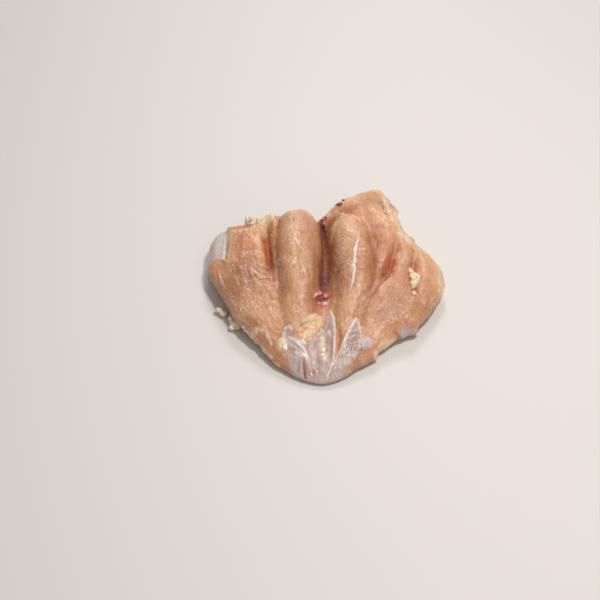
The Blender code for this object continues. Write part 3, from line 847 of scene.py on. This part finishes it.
def wet_group():
    """Damp surface: beads of moisture as a mask and a height, where the sum of a fine noise, a wide one
    and the amount passes a level."""
    tree, given, result = new_group(
        "wet_beads", [("Position", "NodeSocketVector"), ("Amount", "NodeSocketFloat")],
        [("Beads", "NodeSocketFloat"), ("Height", "NodeSocketFloat")],
    )
    grains = cloud(tree, given["Position"], scale=900.0, detail=1.0)
    patches = cloud(tree, given["Position"], scale=130.0, detail=3.0)
    level = summed(tree, (grains, 1.0), (patches, 0.4), (given["Amount"], 0.14))
    beads = spread(tree, level, 0.86, 0.95)
    tree.links.new(beads, result.inputs["Beads"])
    tree.links.new(summed(tree, (level, 0.4), (beads, 1.0)), result.inputs["Height"])
    return tree


def mottle_group():
    """Soft blotches of any size in metres, from 0 to 1 around a half."""
    tree, given, result = new_group(
        "soft_mottle", [("Position", "NodeSocketVector"), ("Size", "NodeSocketFloat")],
        [("Value", "NodeSocketFloat")],
    )
    scale = maths(tree, "DIVIDE", 1.0, given["Size"])
    blotches = cloud(tree, given["Position"], scale, detail=4.0, rough=0.55, distortion=0.5)
    tree.links.new(spread(tree, blotches, 0.3, 0.7), result.inputs["Value"])
    return tree


def film_group():
    """Thin silvery skin that comes and goes over the muscle, in strips along the grain, from 0 to 1, and
    its wrinkles, which are narrow lines where a second noise crosses a half."""
    tree, given, result = new_group(
        "silver_film", [("Grain", "NodeSocketVector")],
        [("Cover", "NodeSocketFloat"), ("Wrinkles", "NodeSocketFloat")],
    )
    strips = scaled(tree, given["Grain"], 0.22, 0.06, 0.1)
    creases = scaled(tree, given["Grain"], 0.62, 0.13, 0.3)
    cover = spread(tree, cloud(tree, strips, detail=5.0, rough=0.62, distortion=0.8), 0.50, 0.72)
    off_line = maths(tree, "SUBTRACT", cloud(tree, creases, rough=0.55, distortion=0.4), 0.5)
    lines = times(tree, maths(tree, "ABSOLUTE", off_line), 20.0)
    lines = maths(tree, "SUBTRACT", 1.0, lines, clamp=True)
    wrinkles = maths(tree, "MULTIPLY", lines, maths(tree, "ADD", cover, 0.35), clamp=True)
    tree.links.new(cover, result.inputs["Cover"])
    tree.links.new(wrinkles, result.inputs["Wrinkles"])
    return tree


FIBRES, WET, MOTTLE, FILM = fibre_group(), wet_group(), mottle_group(), film_group()


def start_material(name, **constants):
    """A new material, its node tree, its shader with some constants set, and the place in the object."""
    material = bpy.data.materials.new(name)
    material.use_nodes = True
    tree = material.node_tree
    shader = tree.nodes["Principled BSDF"]
    for label, value in constants.items():
        shader.inputs[label.replace("_", " ")].default_value = value
    place = add_node(tree, "ShaderNodeTexCoord").outputs["Object"]
    return material, tree, shader, place


def finish_material(tree, shader, base, roughness, height, depth):
    """Joins a material's colour, roughness and height to its shader, the height as a bump in metres."""
    tree.links.new(base, shader.inputs["Base Color"])
    tree.links.new(roughness, shader.inputs["Roughness"])
    bump = add_node(tree, "ShaderNodeBump", {"Height": height, "Strength": 1.0, "Distance": depth})
    tree.links.new(bump.outputs[0], shader.inputs["Normal"])


FLESH_FIELDS = (
    "skin", "fat", "hollow", "crease", "ridge", "pale", "cream", "white", "blood", "warm", "rosy", "low",
    "damp", "deep", "shade",
)
FLESH_BLOTCHES = (0.020, 0.0075, 0.0026, 0.0010)  # from wide to fine, in metres
FLESH_BUMP = 0.0008  # depth of the bump in metres
SOFT_BUMP = 0.0003


def flesh_material():
    """Raw flesh: brown and peach blotches, then in turn the colour fields, fibres, silvery film, painted
    shade in hollows and creases, beads of moisture painted as pale glints and painted shade near the table,
    with skin, fat, white lines, blood and the painted shade of the deepest furrows over them. Of the colour
    fields, shade is painted shade, pale and ridge are painted light, and warm is partly painted shade. The
    bump is a weighted sum of fibres, beads and blotches, and it is weaker under the skin."""
    material, tree, shader, place = start_material(
        "raw_flesh", Subsurface_Weight=0.45, Subsurface_Radius=(1.0, 0.42, 0.24), Subsurface_Scale=0.0024,
        Specular_IOR_Level=0.85,
    )
    field = {name: attribute(tree, name)["Fac"] for name in FLESH_FIELDS}
    grain = attribute(tree, "grain")["Vector"]
    fibres = use_group(tree, FIBRES, {"Grain": grain})
    film = use_group(tree, FILM, {"Grain": grain})
    wet = use_group(tree, WET, {"Position": place, "Amount": field["damp"]})
    wide, middle, small, fine = (
        use_group(tree, MOTTLE, {"Position": place, "Size": size})["Value"] for size in FLESH_BLOTCHES
    )
    unlit = maths(tree, "SUBTRACT", 1.0, times(tree, field["pale"], 0.8))
    base = layered(
        tree, mixed(tree, wide, "#BF7649", "#D09262"),
        (middle, 0.40, "#DCA274"),
        (field["shade"], 0.65, "#A65E30"),
        (field["rosy"], 0.6, "#D68A6C"),
        (field["pale"], 0.85, "#FFD9B2"),
        (field["warm"], 0.7, "#D27C42"),
        # painted light on ridges
        (field["ridge"], 0.35, "#EFC49A"),
        (fibres["Dark"], 0.25, "#AC6636"),
        (fine, 0.07, "#EEC7A6"),
        (fibres["Pale"], 0.36, "#F2C9A0"),
        (film["Cover"], 0.30, "#D8A086"),
        (field["shade"], 0.32, "#98562A"),
        (film["Wrinkles"], 0.5, "#F0DCCB"),
        # painted shade in hollows and creases, less of it where painted light lies
        (times(tree, field["hollow"], unlit), 0.45, "#B0561F"),
        (times(tree, field["crease"], unlit), 0.30, "#8E4518"),
        # painted highlights: the beads of moisture as pale glints
        (wet["Beads"], 0.5, "#FBE8D2"),
        # painted shade near the table
        (field["low"], 0.6, "#86502F"),
    )
    edge = spread(tree, summed(tree, (middle, 0.8), (field["skin"], 1.0)), 0.0, 1.2)
    rim = times(tree, spread(tree, field["skin"], 0.0, 0.6), spread(tree, field["skin"], 4.0, 0.8))
    skin = layered(
        tree, mixed(tree, middle, "#AC928F", "#C8B8BE"),
        (wide, 0.5, "#B58C78"),
        (film["Wrinkles"], 0.35, "#E6DBDD"),
        # painted light and painted shade on the skin
        (field["pale"], 0.8, "#EADFE0"),
        (field["shade"], 0.7, "#8E6E66"),
        (rim, 0.35, "#DDD2D4"),
    )
    yellow = layered(tree, mixed(tree, middle, "#E0C094", "#F2DDB6"), (edge, 0.8, "#F2DEC6"))
    fatty = spread(tree, summed(tree, (small, 1.2), (field["fat"], 1.0)), 0.0, 2.2)
    cream = times(tree, field["cream"], spread(tree, middle, 0.1, 0.6, 0.25, 0.8))
    white = times(tree, field["white"], spread(tree, small, 0.0, 0.7, 0.35, 0.8))
    bloody = spread(tree, summed(tree, (small, 0.45), (field["blood"], 1.0)), 0.45, 1.1)
    # painted shade at the bottom of the deepest furrows, dark brown, or glowing orange where the warm field
    # is
    dark = times(tree, field["deep"], spread(tree, small, 0.0, 1.0, 0.95, 0.6))
    base = layered(
        tree, base,
        (edge, 0.82, skin),
        (fatty, 0.8, yellow),
        (cream, 1.0, mixed(tree, small, "#E6C29A", "#F5E0C4")),
        (white, 1.0, "#EDE3E0"),
        (bloody, 0.8, mixed(tree, small, "#74202A", "#B24C50")),
        (dark, 1.0, mixed(tree, field["warm"], "#4A1F08", "#B8521A")),
    )
    damp_sheen = spread(tree, middle, 0.0, 1.0, 0.19, 0.30)
    roughness = summed(tree, (wet["Beads"], -0.11), (field["deep"], 0.4))
    roughness = maths(tree, "ADD", roughness, damp_sheen, clamp=True)
    uncovered = maths(tree, "SUBTRACT", 1.0, times(tree, edge, 0.7))
    height = summed(tree, (fibres["Height"], 0.11), (wet["Height"], 0.10), (small, 0.27))
    height = summed(tree, (height, uncovered), (middle, 0.38), (film["Wrinkles"], 0.15))
    finish_material(tree, shader, base, roughness, height, FLESH_BUMP)
    return material


def soft_material(name, dark, light, tint, blotch, rough, scatter, coat):
    """Fat, skin, tendon or clot: two colours in soft blotches, and a tint in blotches four times as wide,
    damp and uneven. Scatter holds the weight, the radii and the scale of the light below the surface, and
    coat the weight and the roughness of the wet film."""
    material, tree, shader, place = start_material(
        name, Subsurface_Weight=scatter[0], Subsurface_Radius=scatter[1], Subsurface_Scale=scatter[2],
        Coat_Weight=coat[0], Coat_Roughness=coat[1],
    )
    small = use_group(tree, MOTTLE, {"Position": place, "Size": blotch})["Value"]
    wet = use_group(tree, WET, {"Position": place, "Amount": 0.5})
    base = mixed(tree, small, dark, light)
    if tint:
        wide = use_group(tree, MOTTLE, {"Position": place, "Size": blotch * 4})["Value"]
        base = layered(tree, base, (wide, 0.6, tint))
    roughness = summed(tree, (wet["Beads"], -0.2), (rough, 1.0))
    height = summed(tree, (small, 1.0), (wet["Height"], 1.0))
    finish_material(tree, shader, base, roughness, height, SOFT_BUMP)
    return material


FLESH = flesh_material()
FAT = soft_material(
    "cream_fat", "#E6CFAC", "#FFF3DC", "#EDD6B2", blotch=0.0025, rough=0.28,
    scatter=(0.3, (1.0, 0.6, 0.35), 0.0015), coat=(0.1, 0.3),
)
PINK_FAT = soft_material(
    "pink_fat", "#DCAF92", "#F4DDC9", "#DFA78A", blotch=0.0022, rough=0.32,
    scatter=(0.3, (1.0, 0.5, 0.35), 0.0015), coat=(0.1, 0.3),
)
SKIN = soft_material(
    "pale_membrane", "#D6A09C", "#F2D8D6", "#DC8E86", blotch=0.003, rough=0.26,
    scatter=(0.25, (1.0, 0.6, 0.5), 0.0012), coat=(0.1, 0.3),
)
PINK_SKIN = soft_material(
    "pink_membrane", "#CC807E", "#F6D8D0", "#D6908A", blotch=0.0022, rough=0.24,
    scatter=(0.25, (1.0, 0.5, 0.4), 0.0012), coat=(0.2, 0.2),
)
TENDON = soft_material(
    "white_tendon", "#EADCD0", "#FFF8F0", "#E8CFBC", blotch=0.0025, rough=0.28,
    scatter=(0.25, (1.0, 0.7, 0.5), 0.001), coat=(0.1, 0.3),
)
RED_TISSUE = soft_material(
    "red_tissue", "#B04446", "#E6A29A", None, blotch=0.002, rough=0.24,
    scatter=(0.2, (1.0, 0.3, 0.25), 0.0012), coat=(0.2, 0.2),
)
BLOOD = soft_material(
    "dark_blood", "#6A1C22", "#9A444A", None, blotch=0.002, rough=0.25,
    scatter=(0.2, (1.0, 0.2, 0.2), 0.0015), coat=(0.5, 0.1),
)


def melted(name, shape, material, slot, rounds=5, cell=0.35):
    """A piece whose overlapping shapes are grown together: it is built anew from cells of one size in mm
    and smoothed for some rounds."""
    piece = make_piece(name, *shape, material, slot)
    remesh = piece.modifiers.new("grown_together", "REMESH")
    remesh.mode = "VOXEL"
    remesh.voxel_size = cell * MM
    remesh.use_smooth_shade = True
    smooth = piece.modifiers.new("softened", "SMOOTH")
    smooth.iterations = rounds
    smooth.factor = 0.5


def add_tendon(name, path):
    """A tendon in a fillet: a blunt flat strand along rows of x, y and half width."""
    rows = [(x, y, 0.0, half_width, TENDON_THICKNESS / 2) for x, y, half_width in path]
    melted(name, closed_strand(rows, steps=10, blunt=8, rough=0.3), TENDON, "tendon", rounds=2)


def lumps(rows, seed, lying=True):
    """Round lumps in one shape: x, y, lift over the flesh or height, and the three radii."""
    return joined(*(closed_lump(*row, seed=seed + k, lying=lying) for k, row in enumerate(rows)))


# The pieces. A strand's rows are x, y, height over the flesh, half width and half thickness.
build_flesh(FLESH)
add_tendon("tendon_left", TENDON_LEFT)
add_tendon("tendon_right", TENDON_RIGHT)
melted("fat_lump", joined(
    closed_strand((
        (63.6, 8.5, 0.3, 1.2, 1.0), (65.4, 4.5, 0.9, 2.5, 1.9), (67.0, 0, 1.2, 3.4, 2.4),
        (67.0, -4.5, 1.0, 2.8, 2.0), (65.8, -9, 0.4, 1.5, 1.1),
    ), rough=0.22, seed=1, steps=8),
    closed_strand((
        (68.5, 4.5, 0.6, 0.9, 1.0), (70, 0, 0.8, 1.5, 1.3), (69, -4.5, 0.6, 1.0, 1.0),
    ), rough=0.4, seed=3),
    closed_lump(66, -14, 0.4, 1.8, 2.2, 1.2, seed=2),
), FAT, "fat", rounds=6)
melted("fat_ring", joined(
    closed_ring(50, 54.5, 2.6, 3.6, 0.3, 0.8, seed=5),
    closed_ring(52.5, 47, 2.4, 3.2, 0.3, 0.7, seed=6),
), PINK_FAT, "fat", rounds=3)
melted("shoulder_hooks", lumps((
    (-53.5, 52, 31, 1.8, 2.4, 3.0), (-50.5, 52.5, 32.5, 2.6, 2.2, 2.6), (-49, 50, 29.5, 2.0, 2.4, 2.2),
    (-45.8, 51, 32.5, 1.4, 1.6, 2.6), (-44, 49, 31, 1.8, 2.0, 2.0),
), 10, lying=False), FAT, "fat")
melted("left_scraps", lumps((
    (-72, -15, 4.0, 3.4, 2.2, 1.8), (-69, -18, 3.6, 3.0, 2.6, 2.0), (-63, -24, 4.4, 2.6, 3.4, 2.8),
    (-61, -29, 4.0, 3.0, 3.4, 3.0), (-58.5, -32, 4.4, 2.6, 3.0, 2.4), (-62.5, -31, 2.6, 2.6, 3.0, 2.2),
), 20, lying=False), FAT, "fat")
melted("left_edge_strip", closed_strand((
    (-56, -36, -3.0, 1.0, 1.6), (-52, -41, -3.2, 1.2, 1.8), (-48, -46.5, -3.0, 0.8, 1.4),
), rough=0.3, seed=7), SKIN, "membrane")
melted("diamond_tissue", joined(
    closed_strand((
        (-4.8, -22, 0.1, 0.8, 0.6), (-3.6, -18.5, 0.5, 1.6, 1.0), (-0.8, -14, 0.4, 1.1, 0.8),
        (0.8, -10.5, 0.0, 0.5, 0.5),
    ), rough=0.6, seed=8, steps=8),
    closed_strand((
        (-2.5, -23, 0.1, 0.8, 0.6), (1.0, -22.8, 0.4, 1.4, 0.9), (4.6, -21, 0.2, 1.1, 0.7),
        (6.4, -18, 0.0, 0.5, 0.5),
    ), rough=0.6, seed=9, steps=8),
), PINK_SKIN, "membrane", rounds=4, cell=0.3)
melted("red_fold", closed_strand((
    (2.2, -10.5, 0.1, 0.7, 0.6), (3.2, -14.5, 0.4, 1.3, 0.9), (6.4, -15.8, 0.2, 0.9, 0.6),
    (9.2, -15.2, 0.0, 0.4, 0.4),
), rough=0.7, seed=46, steps=8), RED_TISSUE, "blood", rounds=4, cell=0.3)
melted("centre_clot", joined(
    closed_strand((
        (1.5, -12.0, 0.0, 0.7, 0.7), (0.9, -16.2, 0.3, 1.3, 1.0), (0.2, -19.8, 0.1, 1.0, 0.8),
    ), rough=0.6, seed=40),
    closed_strand((
        (2.4, 8, -0.3, 0.8, 0.7), (2.8, 3, -0.1, 1.4, 0.9), (3.2, -3, -0.3, 0.8, 0.7),
    ), rough=0.5, seed=41),
), BLOOD, "blood")
melted("roll_clots", lumps((
    (15, 61.5, 0.4, 1.9, 1.6, 1.2), (17.5, 64.5, 0.5, 1.5, 0.9, 0.9),
), 50), BLOOD, "blood")
melted("notch_tissue", closed_strand((
    (3.6, 58, 0.0, 0.6, 0.6), (3.2, 56, 0.3, 1.3, 0.9), (4.6, 53.5, 0.3, 1.2, 0.8),
    (4.8, 51.5, 0.0, 0.5, 0.5),
), rough=0.9, seed=44, steps=10), RED_TISSUE, "blood", rounds=4, cell=0.3)
melted("right_rim_fat", joined(
    closed_strand((
        (49, 68, -1.2, 1.6, 1.6), (53, 60, -1.0, 2.2, 1.8), (57, 50, -1.0, 2.2, 1.6),
        (61, 41, -1.0, 2.0, 1.6),
    ), rough=0.45, seed=12, steps=12),
    closed_strand((
        (60, 43, -0.6, 1.4, 1.2), (64, 35, -0.6, 2.4, 1.6), (70, 29.5, -1.0, 1.6, 1.2),
    ), rough=0.45, seed=13, steps=10),
), PINK_FAT, "fat")
melted("edge_flap", lumps((
    (60.5, -38.5, 6.2, 4.5, 2.2, 1.4), (66, -37.6, 5.5, 3.0, 2.4, 1.5), (55, -44, 5.5, 3.6, 1.6, 1.3),
), 60, lying=False), SKIN, "membrane")

# The pale table, the lights and the camera, in metres.
TABLE_HALF = 3.0
TABLE_GAP = 0.0001
CAMERA_PITCH = math.radians(43)
CAMERA_DISTANCE = 1.0
CAMERA_LENS = 82.8
SENSOR_WIDTH = 36
PIXELS_TO_METRE = 1380  # in the picture, at the breast
PIXELS_RIGHT = 20  # how far the breast lies to the right of the picture's middle

floor_mesh = bpy.data.meshes.new("table")
corners = [(x * TABLE_HALF, y * TABLE_HALF, 0) for x, y in ((-1, -1), (1, -1), (1, 1), (-1, 1))]
floor_mesh.from_pydata(corners, [], [(0, 1, 2, 3)])
floor = bpy.data.objects.new("table", floor_mesh)
floor.location.z = -TABLE_GAP
bpy.context.scene.collection.objects.link(floor)
floor_material = bpy.data.materials.new("pale_table")
floor_material.use_nodes = True
floor_shader = floor_material.node_tree.nodes["Principled BSDF"]
floor_shader.inputs["Base Color"].default_value = (0.74, 0.72, 0.70, 1)
floor_shader.inputs["Roughness"].default_value = 0.6
floor_mesh.materials.append(floor_material)


def add_light(name, place, size, power, tint):
    """A square soft light at a place in metres, turned towards the breast."""
    light = bpy.data.lights.new(name, "AREA")
    light.size = size
    light.energy = power
    light.color = tint
    holder = bpy.data.objects.new(name, light)
    holder.location = place
    holder.rotation_euler = (-Vector(place)).to_track_quat("-Z", "Y").to_euler()
    bpy.context.scene.collection.objects.link(holder)


add_light("key", (0.30, -0.05, 1.0), 0.16, 5.8, (1.0, 0.96, 0.90))
add_light("window", (0.05, 1.0, 0.85), 0.3, 5.0, (1.0, 0.97, 0.94))
add_light("fill", (0.3, -0.9, 0.7), 0.9, 2.5, (1.0, 0.96, 0.92))
world = bpy.data.worlds.new("pale_room")
world.use_nodes = True
background = world.node_tree.nodes["Background"]
background.inputs["Color"].default_value = (1.0, 0.98, 0.96, 1)
background.inputs["Strength"].default_value = 0.27
bpy.context.scene.world = world
bpy.context.scene.view_settings.view_transform = "Standard"

forward = Vector((0, math.cos(CAMERA_PITCH), -math.sin(CAMERA_PITCH)))
camera_data = bpy.data.cameras.new("camera")
camera_data.lens = CAMERA_LENS
camera_data.sensor_width = SENSOR_WIDTH
camera = bpy.data.objects.new("camera", camera_data)
sideways = Vector((PIXELS_RIGHT / PIXELS_TO_METRE, 0, 0))
camera.location = Vector(SHIFT * MM) - forward * CAMERA_DISTANCE - sideways
camera.rotation_euler = forward.to_track_quat("-Z", "Y").to_euler()
bpy.context.scene.collection.objects.link(camera)
bpy.context.scene.camera = camera
